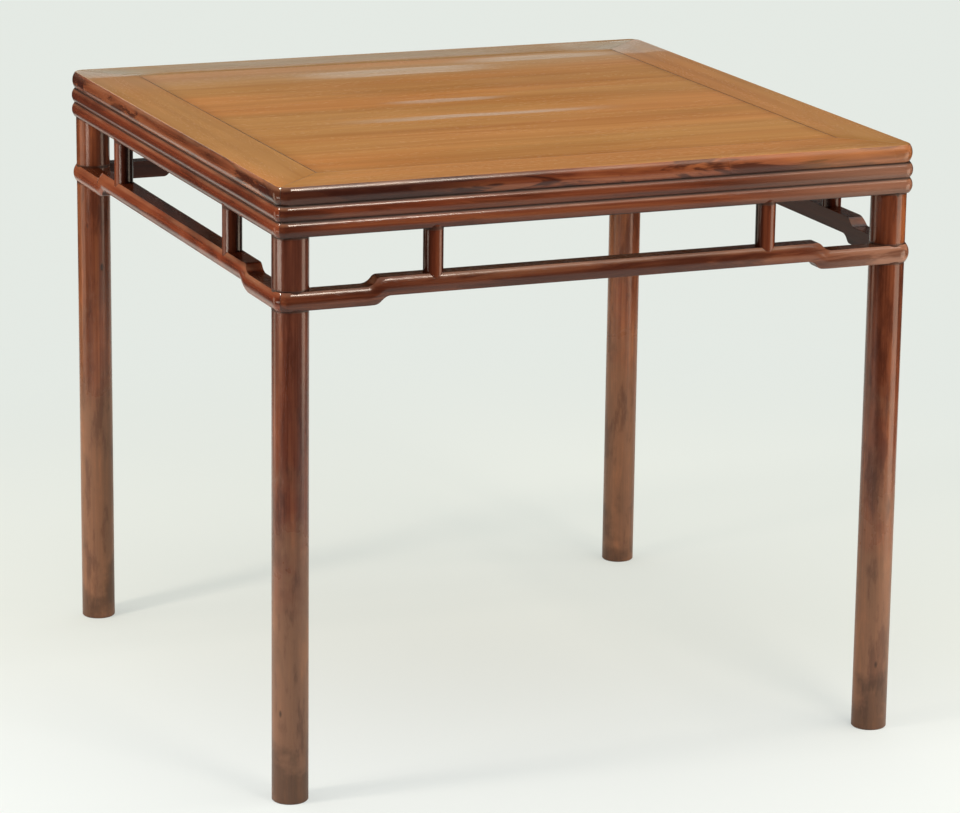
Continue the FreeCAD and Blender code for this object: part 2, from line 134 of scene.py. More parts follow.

# Factors on a wood's red, green and blue: stains, and the painted shade and painted reflection
# named as such.
REDDER = (1.12, 0.86, 0.74)
# painted shade on the panel beside its ends
BOARD_END_PAINTED_SHADE = (0.72, 0.68, 0.66)
# painted reflection: the rear member's top greyer
REAR_FRAME_PAINTED_REFLECTION = (0.84, 0.97, 1.00)
LEFT_STAIN = (0.84, 0.89, 0.95)
RAIL_STAIN = (0.92, 0.96, 1.00)
FRONT_STRETCHER_STAIN = (0.70, 0.84, 1.00)
STRETCHER_STAIN = (0.90, 0.94, 1.00)
# painted shade: the struts a darker copy of the edge wood
STRUT_PAINTED_SHADE = (0.65, 0.65, 0.70)
PALE_MOTTLE = (1.45, 1.35, 1.20)
DARK_MOTTLE = (0.54, 0.50, 0.53)
LEG_STAINS = {
    "front_left": (0.70, 0.74, 0.85),
    "front_right": (1.18, 1.14, 0.98),
    "rear_left": (1.03, 1.10, 0.98),
    "rear_right": (1.22, 1.36, 1.24),
}
GOLDEN_LEG = "front_right"      # its right side over the stretcher has orange figure with painted light

# Lamps: name, setting with its power, place, target, size, tint, shows in reflections.
WARM = (1.0, 0.88, 0.76)
AMBER = (1.0, 0.82, 0.64)
LAMPS = (
    ("front_lamp", "front_power",
     (0.55, -2.75, 2.75), TABLE_MIDDLE, (0.9, 0.34), WARM, True),
    ("front_right_lamp", "front_right_power",
     (1.75, -2.55, 2.7), TABLE_MIDDLE, (1.3, 0.34), WARM, True),
    ("corner_lamp", "corner_power",
     (-2.7, -0.4, 2.7), TABLE_MIDDLE, (0.40, 0.40), WARM, True),
    ("rear_strip", "rear_power",
     (-0.9, 3.8, 2.15), (-0.46, 0.0, 0.8), (1.3, 0.3), WARM, True),
    ("left_panel", "left_power",
     (-1.63, 0.65, 0.41), (0.0, 0.65, 0.41), (0.8, 0.8), AMBER, True),
    ("left_strip", "strip_power",
     (-1.62, -0.42, 0.48), (0.0, -0.36, 0.48), (0.10, 0.64), WARM, True),
    ("right_panel", "right_power",
     (1.2, -1.14, 0.41), (0.0, -0.86, 0.41), (0.8, 0.8), AMBER, True),
    ("far_left_lamp", "far_left_power",
     (-3.9, -0.9, 1.25), TABLE_MIDDLE, (1.2, 1.0), WARM, False),
    ("far_right_lamp", "far_right_power",
     (4.0, -1.0, 1.15), TABLE_MIDDLE, (1.2, 1.0), WARM, False),
)

FLOOR_RADIUS = 40.0             # metres
FLOOR_SIDES = 96
UNLIT_PAPER = (0.03, 0.03, 0.03)
ROOM_TINT = (0.97, 1.0, 0.97)
CEILING_RISE = (32.0, 55.0)     # degrees above the horizon where the ceiling brightens
HORIZON_RISE = (6.0, 5.0)       # degrees above the horizon where the backdrop ends
BEHIND_TABLE = (-0.85, -0.93)   # part of a direction that points at the camera
SENSOR_WIDTH = 36.0             # millimetres


# ------------------------------------------------------------------ settings

def colour(name, description, default):
    """Setting that is a colour or a stain."""
    return bpy.props.FloatVectorProperty(
        name=name, description=description, subtype="COLOR", size=3,
        min=0.0, max=1.0, default=default)


def fraction(name, description, default):
    """Setting from 0 to 1."""
    return bpy.props.FloatProperty(
        name=name, description=description, subtype="FACTOR",
        min=0.0, max=1.0, default=default)


def brightness(name, description, default):
    """Setting that is a factor without an upper end."""
    return bpy.props.FloatProperty(
        name=name, description=description, subtype="FACTOR",
        min=0.0, soft_max=2.0, default=default)


def power(name, description, default):
    """Setting in watts."""
    return bpy.props.FloatProperty(
        name=name, description=description + " in watts", subtype="POWER", default=default)


def length(name, description, default):
    """Setting in metres."""
    return bpy.props.FloatProperty(
        name=name, description=description, unit="LENGTH", default=default)


def angle(name, description, default):
    """Setting whose default is given in degrees."""
    return bpy.props.FloatProperty(
        name=name, description=description, subtype="ANGLE", default=math.radians(default))


class TableWoodSettings(bpy.types.PropertyGroup):
    """Colours and polish of the rosewood."""
    top_dark: colour(
        "Top dark grain", "Darkest streaks of the table top", (0.400, 0.165, 0.038))
    top_mid: colour(
        "Top wood", "Main colour of the table top", (0.506, 0.241, 0.068))
    top_pale: colour(
        "Top pale grain", "Palest streaks of the table top", (0.630, 0.310, 0.095))
    side_dark: colour(
        "Edge dark grain", "Darkest streaks of rails and stretchers", (0.055, 0.012, 0.006))
    side_mid: colour(
        "Edge wood", "Main colour of rails and stretchers", (0.200, 0.050, 0.021))
    side_pale: colour(
        "Edge pale grain", "Palest streaks of rails and stretchers", (0.330, 0.110, 0.046))
    leg_dark: colour(
        "Leg dark grain", "Darkest streaks of the legs", (0.070, 0.018, 0.009))
    leg_mid: colour(
        "Leg wood", "Main colour of the legs", (0.150, 0.047, 0.026))
    leg_pale: colour(
        "Leg pale grain", "Palest streaks of the legs", (0.275, 0.102, 0.050))
    raw_dark: colour(
        "Unpolished dark grain", "Darkest streaks of the hidden wood", (0.090, 0.045, 0.022))
    raw_mid: colour(
        "Unpolished wood", "Main colour of the hidden wood", (0.200, 0.110, 0.055))
    raw_pale: colour(
        "Unpolished pale grain", "Palest streaks of the hidden wood", (0.300, 0.180, 0.100))
    smoky: colour(
        "Smoky edge", "Near-black figure on the front edge", (0.038, 0.010, 0.007))
    glowing: colour(
        "Glowing figure", "Orange wood between the smoky marks", (0.430, 0.140, 0.045))
    # paler wood, with painted sheen on it
    pale_wood_and_sheen: colour(
        "Pinkish end", "Paler wood at the right end of the front", (0.340, 0.170, 0.110))
    tired: colour(
        "Lower legs", "Dull wood of the lower legs", (0.225, 0.126, 0.074))
    soiled: colour(
        "Soiled feet", "Darkening of the feet", (0.550, 0.560, 0.580))
    # painted shade on faces that turn inward or down, on the rails' lower halves, the
    # stretchers' upper faces and the struts' sides
    inner: colour(
        "Inner faces", "Darkening of the faces under the top", (0.220, 0.165, 0.140))
    # pale wear along the upper arrises, with painted highlight in it
    wear_and_highlight: colour(
        "Rubbed crowns", "Pale wear along the upper arrises", (0.380, 0.180, 0.100))
    # dulled polish with painted grey reflection on the table top
    bloom_and_reflection: colour(
        "Faded polish", "Grey bloom on the table top", (0.450, 0.440, 0.390))
    band: colour(
        "Redder bands", "Darkening of the bands across the panel", (0.870, 0.760, 0.640))
    # dirt in seams and on the feet; painted shade too in the moulding grooves and where the
    # struts meet the rails
    dirt_and_shade: colour(
        "Grime", "Dirt in the seams and on the feet", (0.018, 0.010, 0.007))
    polish: fraction("Polish", "Roughness of the waxed surfaces", 0.17)
    gloss: fraction("Gloss", "Strength of the waxed surfaces' reflection", 0.36)
    dull: fraction("Unpolished roughness", "Roughness of the hidden wood", 0.62)
    arris: length("Worn arris", "Rounding that shows on the sharp edges", 0.0008)


class TableStudioSettings(bpy.types.PropertyGroup):
    """Camera, lights and floor."""
    camera_place: bpy.props.FloatVectorProperty(
        name="Camera", description="Where the camera stands", subtype="XYZ", unit="LENGTH",
        size=3, default=(-2.1422, -5.2157, 1.8716))
    camera_yaw: angle("Camera turn", "Turn of the view to the right of the rear", 22.447)
    camera_pitch: angle("Camera tilt", "Tilt of the view below the horizon", 14.672)
    camera_roll: angle("Camera roll", "Roll of the camera to the left", 0.730)
    camera_lens: bpy.props.FloatProperty(
        name="Lens", description="Focal length in millimetres on a 36 mm wide sensor",
        subtype="DISTANCE_CAMERA", default=151.594)
    floor_colour: colour("Floor", "Colour of the paper floor", (0.81, 0.84, 0.80))
    near_floor_colour: colour(
        "Near floor", "Colour of the paper on the camera's side", (0.70, 0.75, 0.76))
    near_glow_colour: colour(
        "Near glow", "Colour that lifts the shadows on the near paper", (0.89, 0.93, 0.91))
    backdrop_colour: colour("Backdrop", "Colour behind the table", (0.78, 0.82, 0.775))
    sky_strength: brightness(
        "Ceiling bounce", "Brightness of the soft light from above", 1.4)
    room_strength: brightness("Room", "Brightness of the unlit walls", 0.035)
    paper_reach: length("Paper edge", "How far the lit paper reaches toward the camera", 1.7)
    paper_width: length("Paper width", "Width of the lit paper across the view", 3.4)
    shadow_lift: fraction("Shadow lift", "How far the floor's shadows are lightened", 0.56)
    front_power: power("Front lamp", "Power of the lamp above the camera's side", 40.0)
    front_right_power: power("Front right lamp", "Power of the dimmer lamp to its right", 8.5)
    left_power: power("Left panel", "Power of the low panel on the left", 4.0)
    strip_power: power("Left strip", "Power of the narrow strip on the left", 2.4)
    right_power: power("Right panel", "Power of the low panel on the right", 8.0)
    rear_power: power("Rear strip", "Power of the strip behind the table", 4.0)
    corner_power: power("Corner lamp", "Power of the small lamp high on the left", 38.0)
    far_left_power: power("Far left lamp", "Power of the distant lamp on the left", 50.0)
    far_right_power: power("Far right lamp", "Power of the distant lamp on the right", 30.0)


# ------------------------------------------------------------- node building

class Graph:
    """A node tree, with short calls for adding nodes to it."""

    def __init__(self, owner):
        owner.use_nodes = True
        self.tree = owner.node_tree
        self.tree.nodes.clear()

    def add(self, kind, inputs=None, **settings):
        """New node; an input is a number, a colour or another node's socket."""
        made = self.tree.nodes.new("ShaderNode" + kind)
        for name, value in settings.items():
            setattr(made, name, value)
        for key, value in (inputs or {}).items():
            socket = made.inputs[key]
            if isinstance(value, bpy.types.NodeSocket):
                self.tree.links.new(value, socket)
            else:
                socket.default_value = value
        return made

    def maths(self, operation, first, second=0.0, third=0.0):
        made = self.add("Math", {0: first, 1: second, 2: third}, operation=operation)
        return made.outputs[0]

    def product(self, first, second):
        return self.maths("MULTIPLY", first, second)

    def raised(self, value, share, amount):
        """Value with a share of an amount added to it."""
        return self.maths("MULTIPLY_ADD", share, amount, value)

    def apart(self, first, second):
        """Distance between two numbers."""
        return self.maths("ABSOLUTE", self.maths("SUBTRACT", first, second))

    def vector_maths(self, operation, *vectors):
        """Vector, or a number for a dot product or a length."""
        made = self.add("VectorMath", dict(enumerate(vectors)), operation=operation)
        return made.outputs["Value" if operation in ("DOT_PRODUCT", "LENGTH") else "Vector"]

    def noise(self, vector, scale, detail=3.0, roughness=0.5, distortion=0.0):
        made = self.add("TexNoise", {
            "Vector": vector, "Scale": scale, "Detail": detail,
            "Roughness": roughness, "Distortion": distortion})
        return made.outputs["Fac"]

    def grain_noise(self, space, along, across, **settings):
        """Noise drawn out along the grain; along and across are its scales."""
        return self.noise(self.stretched(space, along, across), 1.0, **settings)

    def grain_cells(self, space, along, across):
        """Distance from the middle of cells drawn out along the grain."""
        return self.add("TexVoronoi", {
            "Vector": self.stretched(space, along, across), "Scale": 1.0},
            feature="F1").outputs["Distance"]

    def stretched(self, vector, along, across):
        """Coordinates that vary slowly along the grain and fast across it."""
        made = self.add("Mapping", {"Vector": vector, "Scale": (along, across, across)})
        return made.outputs["Vector"]

    def between(self, value, low, high, to_low=0.0, to_high=1.0, curve="SMOOTHSTEP"):
        """Value carried from one range to another and clamped."""
        made = self.add("MapRange", {
            "Value": value, "From Min": low, "From Max": high,
            "To Min": to_low, "To Max": to_high},
            interpolation_type=curve)
        return made.outputs["Result"]

    def ramp(self, factor, stops):
        made = self.add("ValToRGB", {"Fac": factor})
        elements = made.color_ramp.elements
        while len(elements) < len(stops):
            elements.new(0.5)
        for element, (position, shade) in zip(elements, stops):
            element.position = position
            element.color = (*shade, 1.0)
        return made.outputs["Color"]

    def mix(self, factor, first, second, blend="MIX"):
        made = self.add("Mix", {0: factor}, data_type="RGBA", blend_type=blend)
        for socket, value in ((made.inputs[6], first), (made.inputs[7], second)):
            if isinstance(value, bpy.types.NodeSocket):
                self.tree.links.new(value, socket)
            else:
                socket.default_value = (*value, 1.0)
        return made.outputs[2]

    def stained(self, tint, stain, share=1.0):
        """Colour multiplied by a stain, as far as the share says."""
        return self.mix(share, tint, stain, "MULTIPLY")

    def position(self):
        """Place on the table, in the frame's metres, as a vector."""
        return self.add("TexCoord").outputs["Object"]

    def normal(self):
        """Direction that the surface faces, as a vector."""
        return self.add("NewGeometry").outputs["Normal"]

    def axes(self, vector):
        """The three numbers of a vector."""
        return tuple(self.add("SeparateXYZ", {0: vector}).outputs)


def grain_space(graph, grain, number):
    """Coordinates whose X runs along the grain, in this piece's own timber."""
    turned = graph.add("VectorRotate", {
        "Vector": graph.position(), "Rotation": GRAIN_TURNS[grain]},
        rotation_type="EULER_XYZ").outputs[0]
    shift = number * PIECE_SPACING
    own = graph.vector_maths("ADD", turned, (shift, shift / 3, shift / 5))
    wander = graph.add("TexNoise", {
        "Vector": graph.stretched(own, 2.4, 5.0), "Scale": 1.0, "Detail": 1.0}).outputs["Color"]
    return graph.vector_maths("MULTIPLY_ADD", wander, (0.0, GRAIN_WANDER, GRAIN_WANDER), own)


def grain_tone(graph, space, figure=0.3, contrast=1.0, fineness=0.5):
    """Tone of rosewood from 0 to 1: broad bands, growth rings and fine streaks."""
    broad_share, band_share, ring_share = 0.8, 1.0, figure * 0.4
    ring_count = 17.0
    broad = graph.grain_noise(space, 0.8, 7.0, detail=2.0)
    bands = graph.grain_noise(space, 1.6, 55.0)
    streaks = graph.grain_noise(space, 5.0, 420.0, roughness=0.6)
    rings = graph.product(graph.maths("PINGPONG", graph.product(broad, ring_count), 0.5), 2.0)
    tone = graph.product(broad, broad_share)
    tone = graph.raised(tone, bands, band_share)
    tone = graph.raised(tone, streaks, fineness)
    tone = graph.raised(tone, rings, ring_share)
    middle = (broad_share + band_share + fineness + ring_share) / 2
    reach = 0.5 / contrast
    return graph.between(tone, middle - reach, middle + reach)


def pores(graph, space):
    """Short dark vessels along the grain, 0 to 1."""
    vessel = graph.between(graph.grain_cells(space, 55.0, 1100.0), 0.34, 0.14)
    patches = graph.grain_noise(space, 6.0, 60.0, detail=2.0)
    return graph.product(vessel, graph.between(patches, 0.35, 0.65))


def ghost_marks(graph, space, low=0.55, high=0.66):
    """Dark smoky marks with ragged edges, drawn out along the grain, 0 to 1."""
    marks = graph.grain_noise(space, 5.0, 34.0, detail=4.0, roughness=0.6, distortion=1.2)
    return graph.between(marks, low, high)


def wax(graph, tint, roughness, height, relief, settings):
    """Waxed surface with worn arrises over the given colour and relief."""
    worn = graph.add("Bevel", {"Radius": settings.arris}, samples=4).outputs[0]
    bump = graph.add("Bump", {
        "Strength": 1.0, "Distance": relief, "Height": height, "Normal": worn}).outputs[0]
    shader = graph.add("BsdfPrincipled", {
        "Base Color": tint, "Roughness": roughness, "Normal": bump,
        "IOR": 1.5, "Specular IOR Level": settings.gloss})
    graph.add("OutputMaterial", {"Surface": shader.outputs[0]})


def give(name, material):
    """Puts one material on every slot of a piece."""
    if name not in NODES:
        raise RuntimeError("the frame has no piece named " + name)
    mesh = NODES[name].data
    if not mesh.materials:
        mesh.materials.append(material)
    for index in range(len(mesh.materials)):
        mesh.materials[index] = material


def finish_piece(name, kind, grain, number, settings, figure=0.3, contrast=1.0, fineness=0.5,
                 blush=0.7, ghosts=0.5, roughness=None, relief=WOOD_RELIEF, dress=None):
    """Gives a piece its timber: base tone, smoky marks, pores and wax.

    The kind picks three shades from the settings, and dress adds what only this piece has.
    """
    dark, mid, pale = (getattr(settings, kind + tone) for tone in ("_dark", "_mid", "_pale"))
    material = bpy.data.materials.new(name + "_wood")
    graph = Graph(material)
    space = grain_space(graph, grain, number)
    tone = grain_tone(graph, space, figure, contrast, fineness)
    tint = graph.ramp(tone, ((0.0, dark), (0.45, mid), (1.0, pale)))
    patches = graph.grain_noise(space, 1.3, 9.0, detail=2.0)
    tint = graph.stained(tint, REDDER, graph.between(patches, 0.35, 0.65, to_high=blush))
    tint = graph.mix(graph.product(ghost_marks(graph, space), ghosts), tint, dark)
    vessel = pores(graph, space)
    tint = graph.mix(graph.product(vessel, 0.35), tint, dark)
    smoothest = (settings.polish if roughness is None else roughness) - 0.06
    fibres = graph.grain_noise(space, 18.0, 700.0, detail=2.0)
    smears = graph.grain_noise(space, 5.0, 9.0)
    rough = graph.raised(graph.raised(smoothest, vessel, 0.16), smears, 0.12)
    height = graph.raised(graph.product(fibres, 0.35), vessel, -0.7)
    if dress:
        tint, rough, height = dress(graph, space, tint, rough, height)
    wax(graph, tint, rough, height, relief, settings)
    give(name, material)


def finish_members(group, kind, settings, dress, **look):
    """Finishes the front, rear, left and right pieces of a group."""
    for number, (side, grain) in enumerate(MEMBERS, FIRST_TIMBER[group]):
        finish_piece(group + "_" + side, kind, grain, number, settings,
                     dress=dress(settings, side), **look)


# ------------------------------------------------------------- marks of age and painted light

def facing_up(graph):
    """How far the surface faces up, from -1 to 1."""
    return graph.axes(graph.normal())[2]


def facing_inward(graph):
    """How far the surface faces the middle of the table, from 0 to 1."""
    level = graph.vector_maths("MULTIPLY", graph.position(), (1.0, 1.0, 0.0))
    away = graph.vector_maths("NORMALIZE", level)
    outward = graph.vector_maths("DOT_PRODUCT", graph.normal(), away)
    return graph.between(outward, 0.15, -0.45)


def swaying(graph, value, noise, sway):
    """Value moved to and fro by noise, over the given distance in all."""
    return graph.raised(graph.maths("SUBTRACT", value, sway / 2), noise, sway)


def dirt_and_shade_line(graph, tint, rough, settings, distance, line):
    """Dark dull line: old wax in a joint, and in a groove old wax with painted shade."""
    width, strength = line
    filled = graph.product(graph.between(distance, width, width * 0.2), strength)
    return graph.mix(filled, tint, settings.dirt_and_shade), graph.raised(rough, filled, 0.45)


def from_mitre(graph, x, y):
    """Distance across the mitre line at the corners, along either axis."""
    return graph.apart(graph.maths("ABSOLUTE", x), graph.maths("ABSOLUTE", y))


def moulding_age_and_shade(graph, space, tint, rough, settings, grooves=()):
    """Dirt and painted shade in the grooves, dirt in the mitres, painted shade on inward faces
    and undersides, pale wear with painted highlight on the crowns.
    """
    x, y, z = graph.axes(graph.position())
    up = facing_up(graph)
    # pale wear on the crowns, with painted highlight along them
    crown = graph.product(graph.between(up, 0.25, 0.5), graph.between(up, 0.9, 0.72))
    patches = graph.grain_noise(space, 7.0, 30.0)
    wear_and_highlight = graph.product(crown, graph.between(patches, 0.35, 0.7, 0.1, 0.6))
    tint = graph.mix(wear_and_highlight, tint, settings.wear_and_highlight)
    # painted shade on faces that turn inward or down, under the table top; they are duller too
    under = graph.product(graph.between(up, -0.55, -0.9), 0.6)
    hidden = graph.maths("MAXIMUM", facing_inward(graph), under)
    tint = graph.stained(tint, settings.inner, hidden)
    rough = graph.raised(rough, hidden, 0.2)
    mitre = from_mitre(graph, x, y)
    handled = graph.between(mitre, *MITRE_HANDLED, 0.01, -0.06)
    rough = graph.maths("ADD", rough, handled)
    for level, line in grooves:
        tint, rough = dirt_and_shade_line(graph, tint, rough, settings, graph.apart(z, level), line)
    return dirt_and_shade_line(graph, tint, rough, settings, mitre, MITRE_GRIME)


def lengthwise(graph, x, middle, half_length):
    """Share of a streak: 0 beyond its ends and 1 round its middle."""
    return graph.between(graph.apart(x, middle), half_length, half_length * 0.25)


def streak_share(graph, x, y, centre, half):
    """Long soft patch along X, from 0 outside to 1 in its middle."""
    return graph.product(
        lengthwise(graph, x, centre[0], half[0]),
        graph.between(graph.apart(y, centre[1]), half[1] * 1.3, half[1] * 0.2))


def rear_bloom_and_reflection(graph, y, tint, settings, strength):
    """Dulled polish with painted grey reflection toward the rear edge."""
    return graph.mix(graph.between(y, *REAR_BLOOM_AND_REFLECTION, to_high=strength), tint, settings.bloom_and_reflection)


def old_waves(graph, space, tint, rough, height, settings, waves, strength):
    """Places where an old top dips toward the rear, its polish dulled a little, with painted
    grey reflection on them.
    """
    x, y = graph.axes(graph.position())[:2]
    moved = swaying(graph, y, graph.grain_noise(space, 10.0, 40.0), 0.016)
    for centre, half, drop in waves:
        front, back = centre[1] - half[1], centre[1] + half[1]
        down = graph.between(moved, front, back, curve="LINEAR")
        again = graph.between(moved, back, back + WAVE_RETURN, 1.0, 0.0)
        dip = graph.product(
            graph.product(down, again), lengthwise(graph, x, centre[0], half[0]))
        height = graph.raised(height, dip, -drop / TOP_RELIEF)
        # painted grey reflection on each wave, whose polish is also duller
        sheen = streak_share(graph, x, moved, centre, half)
        tint = graph.mix(graph.product(sheen, strength), tint, settings.bloom_and_reflection)
        rough = graph.raised(rough, sheen, 0.09)
    return tint, rough, height


def pale_end(graph, x, tint, settings, stretch, strength):
    """Paler wood toward the right end of a front member, with painted pale sheen."""
    return graph.mix(
        graph.between(x, *stretch, to_high=strength), tint, settings.pale_wood_and_sheen)


# ------------------------------------------------------------------ dressing

def board_dress(settings, seam_y):
    """Waves with painted grey reflection, bands, painted shade near the ends, dark seams round
    a panel board; dull with painted shade below.
    """
    def dress(graph, space, tint, rough, height):
        x, y = graph.axes(graph.position())[:2]
        tint, rough, height = old_waves(
            graph, space, tint, rough, height, settings, PANEL_WAVES, strength=0.26)
        tint = rear_bloom_and_reflection(graph, y, tint, settings, strength=0.2)
        moved = swaying(graph, y, graph.grain_noise(space, 4.0, 18.0), 0.12)
        for centre, half in PANEL_BANDS:
            band = graph.product(streak_share(graph, x, moved, centre, half), 0.65)
            tint = graph.stained(tint, settings.band, band)
        to_end = graph.maths("SUBTRACT", FRAME_EDGE, graph.maths("ABSOLUTE", x))
        to_side = graph.maths("SUBTRACT", FRAME_EDGE, graph.maths("ABSOLUTE", y))
        to_seam = graph.apart(y, seam_y)
        # painted shade on the board next to its ends
        tint = graph.stained(
            tint, BOARD_END_PAINTED_SHADE, graph.between(to_end, *BOARD_END, to_high=0.5))
        for distance, line in (
                (to_end, END_GRIME), (to_side, SIDE_GRIME), (to_seam, SEAM_GRIME)):
            tint, rough = dirt_and_shade_line(graph, tint, rough, settings, distance, line)
        # painted shade on the underside, which is duller too
        below = graph.between(facing_up(graph), *DOWNWARD)
        tint = graph.stained(tint, settings.inner, below)
        return tint, graph.raised(rough, below, 0.4), height
    return dress


def front_edge(graph, x, top, edge, marks, settings):
    """Front edge's wood: smoky on the left, thin streaks and paler wood with painted sheen on
    the right.
    """
    ragged = graph.raised(x, marks, -0.12)
    smoke = graph.between(ragged, *FRONT_SMOKE, to_high=0.85)
    edge = graph.mix(smoke, edge, settings.smoky)
    edge = graph.mix(graph.between(x, *FRONT_STREAKS, to_high=0.22), edge, top)
    return pale_end(graph, x, edge, settings, FRONT_PALE_END, strength=0.12)


def frame_dress(settings, side):
    """Flat top with dulled polish and painted grey reflection, dark moulded edge, tenon ends,
    and a groove below with dirt and painted shade.
    """
    def dress(graph, space, tint, rough, height):
        x, y = graph.axes(graph.position())[:2]
        normal_x, _, up = graph.axes(graph.normal())
        tint, rough, height = old_waves(
            graph, space, tint, rough, height, settings, FRAME_WAVES, strength=0.38)
        # painted grey reflection: all over the rear member's top, toward the rear on the others
        if side == "rear":
            tint = graph.stained(tint, REAR_FRAME_PAINTED_REFLECTION)
        else:
            tint = rear_bloom_and_reflection(graph, y, tint, settings, strength=0.12)
        tone = grain_tone(graph, space, figure=0.5, contrast=1.4)
        edge = graph.ramp(tone, (
            (0.0, settings.side_dark), (0.5, settings.side_mid), (1.0, settings.side_pale)))
        glowing = 0.10
        if side == "front":
            flames = graph.raised(graph.grain_noise(space, 7.0, 60.0), up, 0.25)
            glowing = graph.product(
                graph.between(x, *FRONT_FLAMES, to_high=0.85),
                graph.between(flames, 0.48, 0.68, 0.08, 1.0))
        edge = graph.mix(glowing, edge, settings.glowing)
        marks = graph.product(ghost_marks(graph, space, 0.48, 0.56), 0.85)
        edge = graph.mix(marks, edge, settings.side_dark)
        if side == "front":
            edge = front_edge(graph, x, tint, edge, marks, settings)
            handled = graph.product(
                graph.between(up, *FLAT_TOP[::-1]), graph.between(x, *FRONT_HANDLED))
            rough = graph.raised(rough, handled, 0.12)
        if side == "left":
            edge = graph.mix(
                graph.between(y, *LEFT_SMOKE, to_high=0.8), edge, settings.smoky)
            edge = graph.stained(edge, LEFT_STAIN)
        tint = graph.mix(graph.between(up, *FLAT_TOP), edge, tint)
        if side in ("front", "rear"):
            end_grain = graph.between(graph.maths("ABSOLUTE", normal_x), 0.8, 0.9)
            tint = graph.mix(end_grain, tint, settings.side_dark)
        tint, rough = moulding_age_and_shade(
            graph, space, tint, rough, settings, ((FRAME_UNDERSIDE, FRAME_GROOVE_DIRT_AND_SHADE),))
        return tint, rough, height
    return dress


def rail_dress(settings, side):
    """Painted shade on the lower halves, dark lines of dirt with painted shade between the
    beads; the front's ends differ.
    """
    # dirt with painted shade in the grooves and along the lower edge
    grooves = ((FRAME_UNDERSIDE, BEAD_GROOVE_DIRT_AND_SHADE), (BEAD_GROOVE, BEAD_GROOVE_DIRT_AND_SHADE),
               (RAIL_UNDERSIDE, LIP_DIRT_AND_SHADE))

    def dress(graph, space, tint, rough, height):
        if side == "front":
            x = graph.axes(graph.position())[0]
            tint = graph.mix(
                graph.between(x, *RAIL_SMOKE, to_high=0.6), tint, settings.smoky)
            # paler wood with painted sheen toward the right end
            tint = pale_end(graph, x, tint, settings, RAIL_PALE_END, strength=0.65)
        tint = graph.stained(tint, LEFT_STAIN if side == "left" else RAIL_STAIN)
        # painted shade on the lower halves of the beads
        lower = graph.product(graph.between(facing_up(graph), 0.10, -0.35), 0.42)
        tint = graph.stained(tint, settings.inner, lower)
        tint, rough = moulding_age_and_shade(graph, space, tint, rough, settings, grooves)
        return tint, rough, height
    return dress


def stretcher_dress(settings, side):
    """Cooler wood with painted shade on its upper face, under the table top; the front has
    smoky marks and a pale right end with painted sheen.
    """
    def dress(graph, space, tint, rough, height):
        if side == "front":
            x = graph.axes(graph.position())[0]
            tint = graph.stained(tint, FRONT_STRETCHER_STAIN)
            # paler wood with painted sheen toward the right end
            tint = pale_end(graph, x, tint, settings, STRETCHER_PALE_END, strength=0.8)
            marks = graph.product(ghost_marks(graph, space, 0.46, 0.58), 0.6)
            tint = graph.mix(marks, tint, settings.side_dark)
        else:
            tint = graph.stained(tint, STRETCHER_STAIN)
        # painted shade on the upper face, which lies under the table top
        upper = graph.between(facing_up(graph), 0.80, 0.96, to_high=0.75)
        tint = graph.stained(tint, settings.inner, upper)
        tint, rough = moulding_age_and_shade(graph, space, tint, rough, settings)
        return tint, rough, height
    return dress


def leg_dress(settings, corner):
    """Red and glossy under the top, greyer and dull toward a scuffed foot."""
    def dress(graph, space, tint, rough, height):
        z = graph.axes(graph.position())[2]
        tint = graph.stained(tint, LEG_STAINS[corner])
        clouds = graph.noise(graph.position(), 16.0, detail=4.0, roughness=0.6)
        level = swaying(graph, z, clouds, 0.5)
        tired = graph.between(level, 0.50, 0.22)
        tint = graph.mix(graph.product(tired, 0.6), tint, settings.tired)
        mottle = graph.grain_noise(space, 9.0, 40.0, detail=5.0, roughness=0.65)
        tint = graph.stained(
            tint, PALE_MOTTLE, graph.between(mottle, 0.5, 0.7, to_high=0.7))
        tint = graph.stained(
            tint, DARK_MOTTLE, graph.between(mottle, 0.48, 0.34, to_high=0.8))
        tint = graph.stained(tint, settings.soiled, graph.between(level, 0.10, 0.0))
        # orange figure with painted light on the right side, over the stretcher
        if corner == GOLDEN_LEG:
            to_right = graph.axes(graph.normal())[0]
            orange_and_painted_light = graph.product(
                graph.between(to_right, -0.2, 0.7, to_high=0.6),
                graph.between(z, STRETCHER_TOP - 0.04, STRETCHER_TOP + 0.02))
            orange_and_painted_light = graph.product(orange_and_painted_light, graph.between(mottle, 0.38, 0.60))
            tint = graph.mix(orange_and_painted_light, tint, settings.glowing)
        rough = graph.raised(rough, tired, 0.2)
        specks = graph.product(
            graph.between(graph.grain_cells(space, 14.0, 34.0), 0.11, 0.05),
            graph.between(clouds, 0.45, 0.55))
        tint = graph.mix(graph.product(specks, 0.8), tint, settings.dirt_and_shade)
        height = graph.raised(height, specks, -3.0)
        for joint in (STRETCHER_UNDERSIDE, STRETCHER_TOP, RAIL_UNDERSIDE):
            tint, rough = dirt_and_shade_line(
                graph, tint, rough, settings, graph.apart(z, joint), LEG_GRIME)
        return tint, rough, height
    return dress


